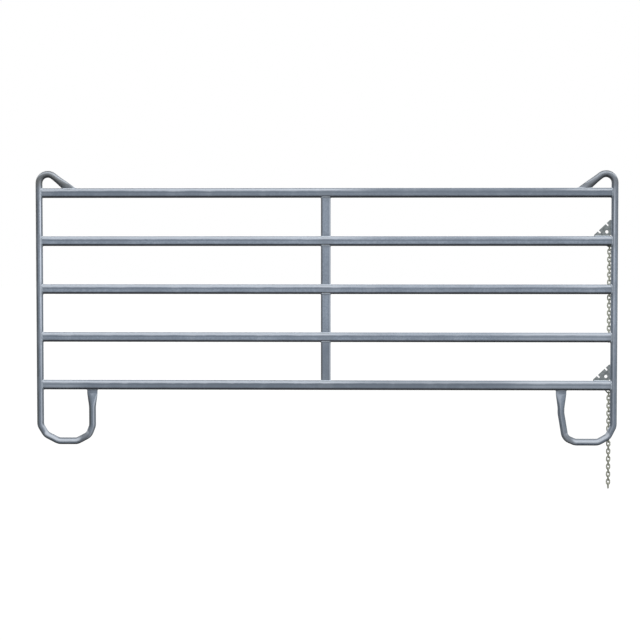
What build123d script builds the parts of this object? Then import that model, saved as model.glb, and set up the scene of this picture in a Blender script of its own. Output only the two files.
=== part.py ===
from build123d import *
import os
from math import acos, atan2, cos, degrees, pi, radians, sin, tan

# Corral fence panel of galvanised tube, with a short coupling chain at two heights.
# X runs along the panel, Y points to its back, Z points up. All sizes are in millimetres.
# The origin is the middle of the panel, on the ground line under both feet.

# Overall size
PANEL_LENGTH = 3600.0
PANEL_HEIGHT = 1700.0

# End hoops: one round tube each, bent round one die into carrying hoop, post and foot
TUBE_D = 42.4
TUBE_WALL = 2.0
TUBE_BEND_R = 55.0
HOOP_SLOPE = 38.5

# Bends of each foot, from its leg to the post: distance in from the post, height over the lowest run
LEFT_FOOT = ((325.0, 96.0), (303.0, 39.0), (230.0, 0.0), (114.0, 0.0), (35.0, 40.0), (0.0, 99.0))
RIGHT_FOOT = ((323.0, 180.0), (297.0, 26.0), (236.0, 0.0), (95.0, 0.0), (32.0, 35.0), (0.0, 101.0))

# Pressed ends of the hoops: distance from the round tube, width across the press, thickness
HOOP_END = ((18.0, 43.0, 41.0), (50.0, 47.0, 35.0), (100.0, 53.0, 25.0), (185.0, 62.0, 12.0))
HOOP_ROUND_LENGTH = 10.0
LEG_END = ((18.0, 44.5, 39.5), (45.0, 51.5, 31.0), (72.0, 59.0, 20.0), (96.0, 65.0, 8.0))
LEG_END_LENGTH = 119.0

# Rails: flat-oval tube
RAIL_HEIGHT = 60.0
RAIL_DEPTH = 30.0
RAIL_WALL = 1.5
RAIL_PITCH = 297.5
BOTTOM_RAIL_Z = 372.0
RAIL_NAMES = ("bottom_rail", "fourth_rail", "middle_rail", "second_rail", "top_rail")

# Centre struts: thinner flat-oval tube, one in each bay
STRUT_WIDTH = 60.0
STRUT_DEPTH = 20.0
STRUT_WALL = 1.5

# How far the ends of struts and hoops saddle over a rail's rounded edge
STRUT_SADDLE = 4.0
HOOP_SADDLE = 5.0

# Chain plates in the corner of a rail and the right post
PLATE_THICKNESS = 6.0
PLATE_ALONG_RAIL = 105.0
PLATE_UP_POST = 100.0
PLATE_TIP = 8.0
PLATE_CORNER_CUT = 12.0
PLATE_SEAT = 1.0
PLATE_HOLE_D = 20.0
PLATE_HOLE_INSET = 27.0
PLATE_SLOT_WIDTH = 10.0
PLATE_SLOT_DEPTH = 19.0
PLATE_SLOT_SHARES = (0.27, 0.76)

# Chains: welded wire links, hung behind the panel
WIRE_D = 8.0
WIRE_SIDES = 6
BEND_FLATS = 5
LINK_WIDTH = 27.2
LINK_PITCH = 23.7
LINK_GAP = 0.3
LINK_RUNS = ((1, 1), (2, 6), (7, 11), (12, 16), (17, 21), (22, 25))

# Staples: bent rod under the rail, leaning towards the post, each bent back to its own angle
STAPLE_BEND_R = 11.0
STAPLE_REACH = 51.0
STAPLE_LEAN = 30.0
STAPLE_FROM_POST = 24.0

# Sizes that follow
TUBE_R = TUBE_D / 2
POST_X = PANEL_LENGTH / 2 - TUBE_R
RAIL_R = RAIL_DEPTH / 2
RAIL_Z = {name: BOTTOM_RAIL_Z + i * RAIL_PITCH for i, name in enumerate(RAIL_NAMES)}
TOP_CREST_Z = RAIL_Z["top_rail"] + RAIL_HEIGHT / 2
UNDERSIDE_Z = BOTTOM_RAIL_Z - RAIL_HEIGHT / 2
CHAIN_X = POST_X - STAPLE_FROM_POST
LINK_HALF = (LINK_PITCH + LINK_GAP + WIRE_D) / 2

# Each chain: the rail that carries it, and how far below the rail's middle its staple reaches
CHAINS = {"upper": ("second_rail", 33.9), "lower": ("bottom_rail", 48.3)}


def rail_plane(rail_z):
    """Section plane of a rail: its first axis points up, and it faces along the panel."""
    return Plane(origin=(0, 0, rail_z), x_dir=(0, 0, 1), z_dir=(1, 0, 0))


def cut_to_rail(rail_z):
    """Take a rail's outer shape out of the piece in hand, so that the piece seats on the rail."""
    with BuildSketch(rail_plane(rail_z)) as section:
        SlotOverall(RAIL_HEIGHT, RAIL_DEPTH)
    extrude(section.sketch, amount=POST_X - TUBE_R, both=True, mode=Mode.SUBTRACT)


def cut_to_posts(rail_z):
    """Take both posts out of the piece in hand, so that the piece seats against them."""
    with Locations((-POST_X, 0, rail_z), (POST_X, 0, rail_z)):
        Cylinder(TUBE_R, PANEL_HEIGHT / 2, mode=Mode.SUBTRACT)


def tube_section(plane, width, thickness):
    """Ring section of the tube on a plane, round or pressed to an oval."""
    with BuildSketch(plane) as section:
        Ellipse(width / 2, thickness / 2)
        Ellipse(width / 2 - TUBE_WALL, thickness / 2 - TUBE_WALL, mode=Mode.SUBTRACT)
    return section.sketch


def press_end(start, stations):
    """Carry the round tube on from the plane start, pressed more at each station."""
    sections = [tube_section(start, TUBE_D, TUBE_D)]
    for distance, width, thickness in stations:
        sections.append(tube_section(start.offset(distance), width, thickness))
    loft(sections)


def bend_corners(bend_r):
    """Corners of a half-circle bend made of short flats, counted from its right-hand end."""
    turn = pi / (BEND_FLATS + 1)
    corner_r = bend_r / cos(turn / 2)
    angles = [turn * (i + 0.5) for i in range(BEND_FLATS + 1)]
    return [(corner_r * cos(a), corner_r * sin(a)) for a in angles]


def make_rail(rail_z):
    """One rail: flat-oval tube from post to post, coped at both ends."""
    with BuildPart() as rail:
        with BuildSketch(rail_plane(rail_z)):
            SlotOverall(RAIL_HEIGHT, RAIL_DEPTH)
            SlotOverall(RAIL_HEIGHT - 2 * RAIL_WALL, RAIL_DEPTH - 2 * RAIL_WALL, mode=Mode.SUBTRACT)
        extrude(amount=POST_X, both=True)
        cut_to_posts(rail_z)
    return rail.part


def make_strut(lower_z, upper_z):
    """One centre strut: flat-oval tube that saddles over the rails below and above it."""
    foot_z = lower_z + RAIL_HEIGHT / 2 - STRUT_SADDLE
    head_z = upper_z - RAIL_HEIGHT / 2 + STRUT_SADDLE
    with BuildPart() as strut:
        with BuildSketch(Plane.XY.offset(foot_z)):
            SlotOverall(STRUT_WIDTH, STRUT_DEPTH)
            SlotOverall(STRUT_WIDTH - 2 * STRUT_WALL, STRUT_DEPTH - 2 * STRUT_WALL, mode=Mode.SUBTRACT)
        extrude(amount=head_z - foot_z)
        cut_to_rail(lower_z)
        cut_to_rail(upper_z)
    return strut.part


def make_hoop(foot):
    """An end hoop at the right end: leg, foot, post and carrying hoop in one bent tube."""
    slope = radians(HOOP_SLOPE)
    bend_tangent = TUBE_BEND_R * tan((pi / 2 + slope) / 2)
    bend_top_z = PANEL_HEIGHT - TUBE_R - TUBE_BEND_R + bend_tangent
    diagonal = bend_tangent + HOOP_ROUND_LENGTH
    hoop_end = (POST_X - diagonal * cos(slope), bend_top_z - diagonal * sin(slope))
    foot_corners = [(POST_X - inset, TUBE_R + height) for inset, height in foot]
    leg_x = foot_corners[0][0]
    leg_end = (leg_x, UNDERSIDE_Z - LEG_END_LENGTH)
    hoop_plane = Plane(
        origin=(hoop_end[0], 0, hoop_end[1]),
        x_dir=(-sin(slope), 0, cos(slope)),
        z_dir=(-cos(slope), 0, -sin(slope)),
    )
    leg_plane = Plane(origin=(leg_end[0], 0, leg_end[1]))
    blade_start, blade_width, blade_thickness = LEG_END[-1]
    with BuildPart() as hoop:
        with BuildLine(Plane.XZ):
            FilletPolyline(leg_end, *foot_corners, (POST_X, bend_top_z), hoop_end, radius=TUBE_BEND_R)
        with BuildSketch(leg_plane):
            Circle(TUBE_R)
            Circle(TUBE_R - TUBE_WALL, mode=Mode.SUBTRACT)
        sweep()
        press_end(leg_plane, LEG_END)
        blade = tube_section(leg_plane.offset(blade_start), blade_width, blade_thickness)
        extrude(blade, amount=LEG_END_LENGTH - blade_start + RAIL_R)
        press_end(hoop_plane, HOOP_END)
        with Locations((leg_x, 0, TOP_CREST_Z - HOOP_SADDLE)):
            Box(
                2 * (POST_X - TUBE_D - leg_x),
                2 * TUBE_D,
                RAIL_PITCH,
                align=(Align.CENTER, Align.CENTER, Align.MAX),
                mode=Mode.SUBTRACT,
            )
        cut_to_rail(RAIL_Z["top_rail"])
        cut_to_rail(BOTTOM_RAIL_Z)
    return hoop.part


def make_plate(rail_z):
    """One chain plate: a triangle with a padlock hole and two slots that grip a chain link."""
    corner_x = POST_X - TUBE_R
    corner_z = rail_z + RAIL_HEIGHT / 2
    tip = (corner_x - PLATE_ALONG_RAIL, corner_z + PLATE_TIP)
    top = (corner_x - PLATE_TIP, corner_z + PLATE_UP_POST)
    run = (top[0] - tip[0], top[1] - tip[1])
    slot_angle = degrees(atan2(run[1], run[0])) + 90
    slots = [(tip[0] + share * run[0], tip[1] + share * run[1]) for share in PLATE_SLOT_SHARES]
    with BuildPart() as plate:
        with BuildSketch(Plane.XZ):
            with BuildLine():
                Polyline(
                    (corner_x - PLATE_CORNER_CUT, corner_z - PLATE_SEAT),
                    (tip[0], corner_z - PLATE_SEAT),
                    tip,
                    top,
                    (corner_x + PLATE_SEAT, top[1]),
                    (corner_x + PLATE_SEAT, corner_z + PLATE_CORNER_CUT),
                    close=True,
                )
            make_face()
            with Locations((corner_x - PLATE_HOLE_INSET, corner_z + PLATE_HOLE_INSET)):
                Circle(PLATE_HOLE_D / 2, mode=Mode.SUBTRACT)
            with Locations(*slots):
                SlotOverall(2 * PLATE_SLOT_DEPTH, PLATE_SLOT_WIDTH, rotation=slot_angle, mode=Mode.SUBTRACT)
        extrude(amount=PLATE_THICKNESS / 2, both=True)
        cut_to_rail(rail_z)
        cut_to_posts(rail_z)
    return plate.part


def staple_plane(rail_z, drop):
    """Plane of a bent-back staple, from the axis of the rail's rounded lower edge. Its Y points out."""
    tilt = acos((drop - RAIL_HEIGHT / 2 + RAIL_R) / STAPLE_REACH)
    edge_axis = (CHAIN_X, 0, rail_z - RAIL_HEIGHT / 2 + RAIL_R)
    return Plane(origin=edge_axis, x_dir=(1, 0, 0), z_dir=(0, cos(tilt), sin(tilt)))


def make_staple(rail_z, drop):
    """One staple: a rod bent to a leaning U, its two ends seated on the rail."""
    lean = radians(STAPLE_LEAN)
    bow_y = STAPLE_REACH - STAPLE_BEND_R
    root_y = RAIL_R - WIRE_D

    def leaned(x, y):
        """A point of the upright U, about the middle of its bow, turned by the lean."""
        return (x * cos(lean) + y * sin(lean), bow_y - x * sin(lean) + y * cos(lean))

    def root(x):
        """Where the leg at x starts, inside the rail's outline."""
        return leaned(x, (root_y - bow_y + x * sin(lean)) / cos(lean))

    bow = [leaned(x, y) for x, y in bend_corners(STAPLE_BEND_R)]
    plane = staple_plane(rail_z, drop)
    with BuildPart() as staple:
        with BuildLine(plane) as rod:
            Polyline(root(STAPLE_BEND_R), *bow, root(-STAPLE_BEND_R))
        with BuildSketch(Plane(origin=rod.wire() @ 0, x_dir=plane.z_dir, z_dir=rod.wire() % 0)):
            RegularPolygon(WIRE_D / 2, WIRE_SIDES, rotation=180 / WIRE_SIDES)
        sweep(transition=Transition.RIGHT)
        cut_to_rail(rail_z)
    return staple.part


def make_link():
    """One chain link, standing face-on about the origin. Its bends are made of short flats."""
    bend_r = (LINK_WIDTH - WIRE_D) / 2
    bend_z = LINK_HALF - bend_r
    bend = [(x, bend_z + z) for x, z in bend_corners(bend_r)]
    with BuildPart() as link:
        with BuildLine(Plane.XZ):
            Polyline((bend_r, 0), *bend, (-bend_r, 0))
        with BuildSketch(Plane.XY):
            with Locations((bend_r, 0)):
                RegularPolygon(WIRE_D / 2, WIRE_SIDES)
        sweep(transition=Transition.RIGHT)
        mirror(about=Plane.XY)
    return link.part


def make_run(link, first, last, chain_y, first_z):
    """A run of links, hung in line. Odd links stand edge-on to the panel, even ones face-on."""
    with BuildPart() as run:
        for number in range(first, last + 1):
            with Locations((CHAIN_X, chain_y, first_z - (number - 1) * LINK_PITCH)):
                add(link, rotation=(0, 0, 90 * (number % 2)))
    return run.part


pieces = {name: make_rail(z) for name, z in RAIL_Z.items()}

for i, (lower, upper) in enumerate(zip(RAIL_NAMES, RAIL_NAMES[1:])):
    pieces[f"centre_strut_{i + 1}"] = make_strut(RAIL_Z[lower], RAIL_Z[upper])

pieces["right_end_hoop"] = make_hoop(RIGHT_FOOT)
with BuildPart() as left_end_hoop:
    mirror(make_hoop(LEFT_FOOT), about=Plane.YZ)
pieces["left_end_hoop"] = left_end_hoop.part

one_link = make_link()
for chain, (rail, drop) in CHAINS.items():
    rail_z = RAIL_Z[rail]
    pieces[f"{chain}_chain_plate"] = make_plate(rail_z)
    pieces[f"{chain}_chain_staple"] = make_staple(rail_z, drop)
    hang = staple_plane(rail_z, drop).from_local_coords((0, STAPLE_REACH, 0))
    first_z = hang.Z + WIRE_D + LINK_GAP - LINK_HALF
    for first, last in LINK_RUNS:
        name = f"{chain}_chain_link_{first}" if first == last else f"{chain}_chain_links_{first}_to_{last}"
        pieces[name] = make_run(one_link, first, last, hang.Y, first_z)

os.makedirs("parts", exist_ok=True)
for name, piece in pieces.items():
    piece.label = name
    export_step(piece, f"parts/{name}.step")
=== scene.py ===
from collections import namedtuple
from math import cos, exp, pi, radians, sin, sqrt

import bmesh
import bpy
from mathutils import Matrix, Vector, geometry, noise


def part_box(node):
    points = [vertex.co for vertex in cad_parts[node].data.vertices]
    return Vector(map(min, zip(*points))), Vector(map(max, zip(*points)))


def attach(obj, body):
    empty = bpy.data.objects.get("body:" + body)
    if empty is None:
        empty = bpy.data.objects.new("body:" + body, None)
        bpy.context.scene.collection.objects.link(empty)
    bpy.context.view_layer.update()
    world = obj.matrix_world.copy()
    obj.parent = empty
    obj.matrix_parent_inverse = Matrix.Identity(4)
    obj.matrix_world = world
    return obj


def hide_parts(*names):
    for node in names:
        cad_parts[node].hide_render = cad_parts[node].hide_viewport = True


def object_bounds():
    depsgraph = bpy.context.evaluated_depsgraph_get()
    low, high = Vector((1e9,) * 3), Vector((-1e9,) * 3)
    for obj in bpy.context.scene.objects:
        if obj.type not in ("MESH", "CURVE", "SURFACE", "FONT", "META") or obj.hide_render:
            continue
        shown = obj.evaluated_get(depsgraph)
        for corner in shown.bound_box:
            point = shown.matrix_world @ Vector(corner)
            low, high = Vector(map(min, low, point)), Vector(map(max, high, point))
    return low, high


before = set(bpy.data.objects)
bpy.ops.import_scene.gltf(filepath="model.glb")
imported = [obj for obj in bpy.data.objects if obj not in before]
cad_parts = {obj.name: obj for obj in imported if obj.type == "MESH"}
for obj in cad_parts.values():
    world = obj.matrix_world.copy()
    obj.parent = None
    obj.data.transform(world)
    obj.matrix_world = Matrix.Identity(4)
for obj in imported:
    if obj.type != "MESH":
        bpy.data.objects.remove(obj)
cad_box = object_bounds()

# Corral fence panel of galvanised tube, seen from the front. All sizes are in metres.
# X runs along the panel, Y points to its back, Z points up.

RAILS = ("bottom_rail", "fourth_rail", "middle_rail", "second_rail", "top_rail")
STRUTS = ("centre_strut_1", "centre_strut_2", "centre_strut_3", "centre_strut_4")
HOOPS = ("left_end_hoop", "right_end_hoop")
CHAINS = {"upper": "second_rail", "lower": "bottom_rail"}
LINK_RUNS = ((1, 1), (2, 6), (7, 11), (12, 16), (17, 21), (22, 25))

# Sizes of the frame
POST_R = 0.0212
POST_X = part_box("right_end_hoop")[1].x - POST_R
RAIL_LOW, RAIL_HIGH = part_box("bottom_rail")
RAIL_HEIGHT = RAIL_HIGH.z - RAIL_LOW.z
RAIL_EDGE_R = RAIL_HIGH.y
RAIL_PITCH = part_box("fourth_rail")[0].z - RAIL_LOW.z
BOTTOM_RAIL_Z = (RAIL_HIGH.z + RAIL_LOW.z) / 2

# Chain wire
WIRE_R = 0.004
LINK_WIDTH = 0.0272
LINK_PITCH = 0.0237
LINK_GAP = 0.0003
LINK_WELD_SIDE = -1
LINK_WELD_SWELL = 0.13
LINK_WELD_LENGTH = 0.0026
LINK_TWIST = radians(3)
LINK_TWIST_SCALE = 1000.0
WIRE_STEPS = 16
LEG_STEPS = 12
BEND_STEPS = 18
WIRE_LAYERS = ("rub", "weld_heat", "outer_side")

# Staples
STAPLE_BEND_R = 0.011
STAPLE_LEAN = radians(30)
STAPLE_ROOT = 0.007
STAPLE_BEAD_SHARE = 0.7

# Weld beads: half their width and height, how they ripple and wander, and how they are divided
BEAD_HALF_WIDTH = 0.0042
BEAD_HALF_HEIGHT = 0.0031
BEAD_RIPPLE = 0.09
BEAD_RIPPLE_PITCH = 0.0030
BEAD_RIPPLE_BOW = 0.0016
BEAD_WANDER = 0.22
BEAD_WANDER_SCALE = 90.0
BEAD_STEP = 0.0008
BEAD_STEPS_AROUND = 10
BEAD_END = 0.004
SEAM_TOLERANCE = 0.00005
PLATE_CORNER_CUT = 0.012

# Camera, at the photograph's place
CAMERA_PLACE = (0.2036, -10.0, 1.1817)
CAMERA_PITCH = radians(-2.32)
CAMERA_YAW = radians(-1.371)
CAMERA_LENS = 90.88
CAMERA_SENSOR = 36.0
CAMERA_REACH = 300.0

# Light and floor. A sky lamp has a strength, a softness, an elevation and an azimuth.
SKY_LAMPS = {
    "high_light": (2.3, radians(70), radians(42), radians(22)),
    "back_light": (1.4, radians(60), radians(12), radians(200)),
}
SOFT_BOX_POWER = 10.0
SOFT_BOX_SIZE = (1.0, 1.2)
SOFT_BOX_PLACE = (0.0, -2.6, 2.2)
SOFT_BOX_AIM = (0.0, 0.0, 1.0)
WHITE = (1, 1, 1, 1)
STUDIO_GLOW = 0.36
FLOOR_GAP = 0.003
FLOOR_HALF = 60.0
FLOOR_GREY = (0.12, 0.12, 0.12, 1)
FLOOR_PALE = (0.95, 0.95, 0.95, 1)
FLOOR_GLOW = 1.08
FLOOR_GLOW_SHARE = 0.8


def middle(node):
    """Middle of a node's box."""
    low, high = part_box(node)
    return (low + high) / 2


def in_scene(name, data):
    """A new object in the scene."""
    made = bpy.data.objects.new(name, data)
    bpy.context.scene.collection.objects.link(made)
    return made


def new_piece(name, mesh, body, material):
    """A finished mesh as a piece of the object, on its body."""
    mesh.polygons.foreach_set("use_smooth", [True] * len(mesh.polygons))
    mesh.materials.append(material)
    piece = in_scene(name, mesh)
    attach(piece, body)
    return piece


def mesh_from(name, bm):
    """A mesh with its faces turned outwards."""
    bmesh.ops.recalc_face_normals(bm, faces=bm.faces)
    mesh = bpy.data.meshes.new(name)
    bm.to_mesh(mesh)
    bm.free()
    return mesh


def join_rings(bm, rings, closed):
    """Skins a row of vertex rings, and caps its ends where it isn't closed."""
    count = len(rings[0])
    pairs = list(zip(rings, rings[1:]))
    if closed:
        pairs.append((rings[-1], rings[0]))
    else:
        bm.faces.new(rings[0])
        bm.faces.new(rings[-1])
    for one, two in pairs:
        for k in range(count):
            after = (k + 1) % count
            bm.faces.new((one[k], one[after], two[after], two[k]))


# Weld beads

def flat_oval(long, short):
    """Even points round a flat oval with their outward directions. The long way is the first axis."""
    end_r = short / 2
    flat = long - short
    bend = pi * end_r
    length = 2 * (flat + bend)
    count = round(length / BEAD_STEP)
    for i in range(count):
        way = length * i / count
        side = 1 if way < length / 2 else -1
        way = way % (length / 2)
        if way < flat:
            yield side * (way - flat / 2), side * end_r, 0.0, float(side)
        else:
            turn = (way - flat) / end_r
            across, along = cos(turn), sin(turn)
            yield side * (flat / 2 + end_r * along), side * end_r * across, side * along, side * across


def even_loop(corners):
    """Even points round a closed outline in the plane, with their outward directions."""
    count = len(corners)
    for i, start in enumerate(corners):
        run = corners[(i + 1) % count] - start
        steps = max(1, round(run.length / BEAD_STEP))
        before = (start - corners[i - 1]).normalized()
        after = (corners[(i + 2) % count] - corners[(i + 1) % count]).normalized()
        along = run.normalized()
        for k in range(steps):
            share = k / steps
            turned = ((before + along) * (1 - share) + (along + after) * share).normalized()
            point = start + run * share
            yield point.x, point.y, turned.y, -turned.x


def even_line(start, end, out):
    """Even points of a straight seam, all facing one way."""
    count = round((end - start).length / BEAD_STEP)
    return [(start.lerp(end, i / count), out) for i in range(count + 1)]


def rail_end_seam(rail, side):
    """Where a rail's coped end meets the post."""
    low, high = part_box(rail)
    rail_z = middle(rail).z
    seam = []
    for up, back, out_up, out_back in flat_oval(high.z - low.z, high.y - low.y):
        depth = sqrt(POST_R ** 2 - back ** 2)
        post_out = Vector((-side * depth, back, 0)) / POST_R
        rail_out = Vector((0, out_back, out_up))
        point = Vector((side * (POST_X - depth), back, rail_z + up))
        seam.append((point, (post_out + rail_out).normalized()))
    return seam


def edge_axis_z(rail, side):
    """Height of the axis that a rail's upper or lower edge is rounded about."""
    return middle(rail).z + side * (RAIL_HEIGHT / 2 - RAIL_EDGE_R)


def seam_on_rail(outline, rail, side):
    """Lays an outline, given in X and Y with outward directions, on a rail's upper or lower edge."""
    axis_z = edge_axis_z(rail, side)
    seam = []
    for x, y, out_x, out_y in outline:
        rise = side * sqrt(RAIL_EDGE_R ** 2 - y ** 2)
        rail_out = Vector((0, y, rise)) / RAIL_EDGE_R
        piece_out = Vector((out_x, out_y, 0))
        seam.append((Vector((x, y, axis_z + rise)), (rail_out + piece_out).normalized()))
    return seam


def strut_seam(strut, rail, side):
    """Where a strut's end meets a rail."""
    low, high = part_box(strut)
    return seam_on_rail(flat_oval(high.x - low.x, high.y - low.y), rail, side)


def pressed_end_seam(hoop, rail, side):
    """Where the pressed end of a hoop's tube meets a rail, read from the tube's own edge there."""
    axis_z = edge_axis_z(rail, side)
    edge = []
    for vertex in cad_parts[hoop].data.vertices:
        from_axis = Vector((vertex.co.y, vertex.co.z - axis_z))
        on_rail = abs(from_axis.length - RAIL_EDGE_R) < SEAM_TOLERANCE
        if on_rail and side * from_axis.y > 0:
            edge.append(vertex.co.xy)
    outline = [edge[i] for i in geometry.convex_hull_2d(edge)]
    return seam_on_rail(even_loop(outline), rail, side)


def plate_seams(plate, rail):
    """The four straight seams of a chain plate: along the rail and up the post, on both faces."""
    low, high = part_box(plate)
    corner_x = POST_X - POST_R
    crest_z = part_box(rail)[1].z
    axis_z = crest_z - RAIL_EDGE_R
    seams = []
    for y in (low.y, high.y):
        face_out = Vector((0, y, 0)).normalized()
        rail_rise = sqrt(RAIL_EDGE_R ** 2 - y ** 2)
        rail_out = Vector((0, y, rail_rise)) / RAIL_EDGE_R
        start = Vector((low.x + BEAD_END, y, axis_z + rail_rise))
        end = Vector((corner_x - PLATE_CORNER_CUT, y, axis_z + rail_rise))
        seams.append(even_line(start, end, (face_out + rail_out).normalized()))
        post_depth = sqrt(POST_R ** 2 - y ** 2)
        post_out = Vector((-post_depth, y, 0)) / POST_R
        start = Vector((POST_X - post_depth, y, crest_z + PLATE_CORNER_CUT))
        end = Vector((POST_X - post_depth, y, high.z - BEAD_END))
        seams.append(even_line(start, end, (face_out + post_out).normalized()))
    return seams


def add_bead(bm, seam, closed, size):
    """One rippled weld bead along a seam of points, each with the direction that the bead faces."""
    count = len(seam)
    length = count * BEAD_STEP
    rings = []
    for i, (point, out) in enumerate(seam):
        before = seam[i - 1][0] if closed or i > 0 else point
        after = seam[(i + 1) % count][0] if closed or i < count - 1 else point
        along = (after - before).normalized()
        across = along.cross(out).normalized()
        out = across.cross(along)
        way = i * BEAD_STEP
        grown = size * (1 + BEAD_WANDER * noise.noise(point * BEAD_WANDER_SCALE))
        if not closed:
            end_share = min(1.0, (min(way, length - way) + BEAD_STEP) / BEAD_END)
            grown *= sqrt(end_share)
        ring = []
        for k in range(BEAD_STEPS_AROUND):
            turn = 2 * pi * k / BEAD_STEPS_AROUND
            phase = (way + BEAD_RIPPLE_BOW * sin(turn)) / BEAD_RIPPLE_PITCH
            swell = grown * (1 + BEAD_RIPPLE * cos(2 * pi * phase))
            offset = across * BEAD_HALF_WIDTH * cos(turn) + out * BEAD_HALF_HEIGHT * sin(turn)
            ring.append(bm.verts.new(point + offset * swell))
        rings.append(ring)
    join_rings(bm, rings, closed)


def make_welds(name, seams, closed, material, size=1.0):
    """All weld beads of one kind as one piece on the welded frame."""
    bm = bmesh.new()
    for seam in seams:
        add_bead(bm, seam, closed, size)
    new_piece(name, mesh_from(name, bm), "panel_frame", material)


# Chains and staples

def add_wire(bm, path, closed):
    """Round wire along a path of (middle, outward, sideways, radius, rub on the inner side, weld heat)."""
    layers = bm.verts.layers.float
    rub_layer, heat_layer, outer_layer = [layers.get(name) or layers.new(name) for name in WIRE_LAYERS]
    rings = []
    for point, out, side, wire_r, rub, heat in path:
        ring = []
        for k in range(WIRE_STEPS):
            turn = 2 * pi * k / WIRE_STEPS
            vertex = bm.verts.new(point + (out * cos(turn) + side * sin(turn)) * wire_r)
            vertex[rub_layer] = rub * (0.5 - 0.5 * cos(turn))
            vertex[heat_layer] = heat
            vertex[outer_layer] = 0.5 + 0.5 * cos(turn)
            ring.append(vertex)
        rings.append(ring)
    join_rings(bm, rings, closed)


def link_path(centre, turn):
    """Path of one link: two straight legs and two half-circle bends, with a swelling at its weld."""
    bend_r = LINK_WIDTH / 2 - WIRE_R
    half_leg = (LINK_PITCH + LINK_GAP) / 2 + WIRE_R - bend_r
    turned = Matrix.Rotation(turn, 3, "Z")
    sideways = turned @ Vector((0, 1, 0))
    path = []
    for side in (1, -1):
        for i in range(LEG_STEPS):
            z = side * half_leg * (2 * i / LEG_STEPS - 1)
            heat = exp(-(z / LINK_WELD_LENGTH) ** 2) if side == LINK_WELD_SIDE else 0.0
            wire_r = WIRE_R * (1 + LINK_WELD_SWELL * heat)
            path.append((Vector((side * bend_r, 0, z)), Vector((side, 0, 0)), wire_r, 0.0, heat))
        for i in range(BEND_STEPS):
            bend = pi * i / BEND_STEPS
            out = Vector((side * cos(bend), 0, side * sin(bend)))
            path.append((Vector((0, 0, side * half_leg)) + out * bend_r, out, WIRE_R, sin(bend) ** 2, 0.0))
    return [(centre + turned @ point, turned @ out, sideways, wire_r, rub, heat)
            for point, out, wire_r, rub, heat in path]


def make_chain_run(chain, first, last, material):
    """One run of round-wire links in place of the plain ones. Odd links are edge-on, even ones face-on."""
    numbers = f"{first}_to_{last}" if last > first else f"{first}"
    kind = "links" if last > first else "link"
    node = f"{chain}_chain_{kind}_{numbers}"
    name = f"{chain}_chain_wire_{numbers}"
    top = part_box(node)[1].z - (LINK_PITCH + LINK_GAP) / 2 - 2 * WIRE_R
    bm = bmesh.new()
    for number in range(first, last + 1):
        centre = middle(node)
        centre.z = top - (number - first) * LINK_PITCH
        twist = LINK_TWIST * noise.noise(centre * LINK_TWIST_SCALE)
        add_wire(bm, link_path(centre, pi / 2 * (number % 2) + twist), True)
    piece = new_piece(name, mesh_from(name, bm), node, material)
    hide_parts(node)


def staple_frame(chain, rail):
    """The axis of the rail's lower edge above a staple, the way that the staple points, and its reach."""
    root = Vector((middle(f"{chain}_chain_link_1").x, 0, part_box(rail)[0].z + RAIL_EDGE_R))
    bow_tip = middle(f"{chain}_chain_link_1")
    bow_tip.z += (LINK_PITCH + LINK_GAP) / 2 - WIRE_R - LINK_GAP
    reach = bow_tip - root
    return root, reach.normalized(), reach.length


def staple_path(chain, rail):
    """Path of one staple: a U that leans towards the post, from inside the rail and back."""
    root, down, reach = staple_frame(chain, rail)
    aside = Vector((1, 0, 0))
    sideways = aside.cross(down)
    bow_y = reach - STAPLE_BEND_R
    lean_x, lean_y = cos(STAPLE_LEAN), sin(STAPLE_LEAN)

    def leaned(x, y):
        return root + aside * (x * lean_x + y * lean_y) + down * (bow_y - x * lean_y + y * lean_x)

    path = []
    for i in range(BEND_STEPS + 1):
        bend = pi * i / BEND_STEPS
        x, y = cos(bend), sin(bend)
        out = leaned(x, y) - leaned(0, 0)
        path.append((leaned(STAPLE_BEND_R * x, STAPLE_BEND_R * y), out, sideways, WIRE_R, y ** 2, 0.0))
    ends = []
    for side in (1, -1):
        x = side * STAPLE_BEND_R
        y = (STAPLE_ROOT - bow_y + x * lean_y) / lean_x
        ends.append((leaned(x, y), leaned(side, 0) - leaned(0, 0), sideways, WIRE_R, 0.0, 0.0))
    return [ends[0], *path, ends[1]]


def make_staple(chain, rail, material):
    """One round-rod staple in place of the plain one."""
    bm = bmesh.new()
    add_wire(bm, staple_path(chain, rail), False)
    name = f"{chain}_chain_rod_staple"
    piece = new_piece(name, mesh_from(name, bm), "panel_frame", material)
    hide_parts(f"{chain}_chain_staple")


def staple_seams(chain, rail):
    """Where the two legs of a staple enter the rail's rounded lower edge."""
    path = staple_path(chain, rail)
    axis = staple_frame(chain, rail)[0]
    seams = []
    for end, bow in ((path[0], path[1]), (path[-1], path[-2])):
        along = (bow[0] - end[0]).normalized()
        flat = Vector((0, along.y, along.z))
        count = round(2 * pi * WIRE_R / BEAD_STEP)
        seam = []
        for i in range(count):
            turn = 2 * pi * i / count
            rod_out = end[1] * cos(turn) + end[2] * sin(turn)
            start = end[0] + rod_out * WIRE_R - axis
            start.x = 0
            half_b = start.dot(flat)
            reach = sqrt(half_b ** 2 - flat.dot(flat) * (start.dot(start) - RAIL_EDGE_R ** 2)) - half_b
            point = end[0] + rod_out * WIRE_R + along * (reach / flat.dot(flat))
            rail_out = Vector((0, point.y, point.z - axis.z)) / RAIL_EDGE_R
            seam.append((point, (rail_out + rod_out).normalized()))
        seams.append(seam)
    return seams


# Shader nodes

# Numbers of a Mix node's sockets for two colours and for their mix
MIX_ONE, MIX_TWO, MIX_RESULT = 6, 7, 2

# A coat over a colour, for weather and for painted light and shade: its colour, and how much of it shows
# where its mask is full
Coat = namedtuple("Coat", "colour share")


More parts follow.
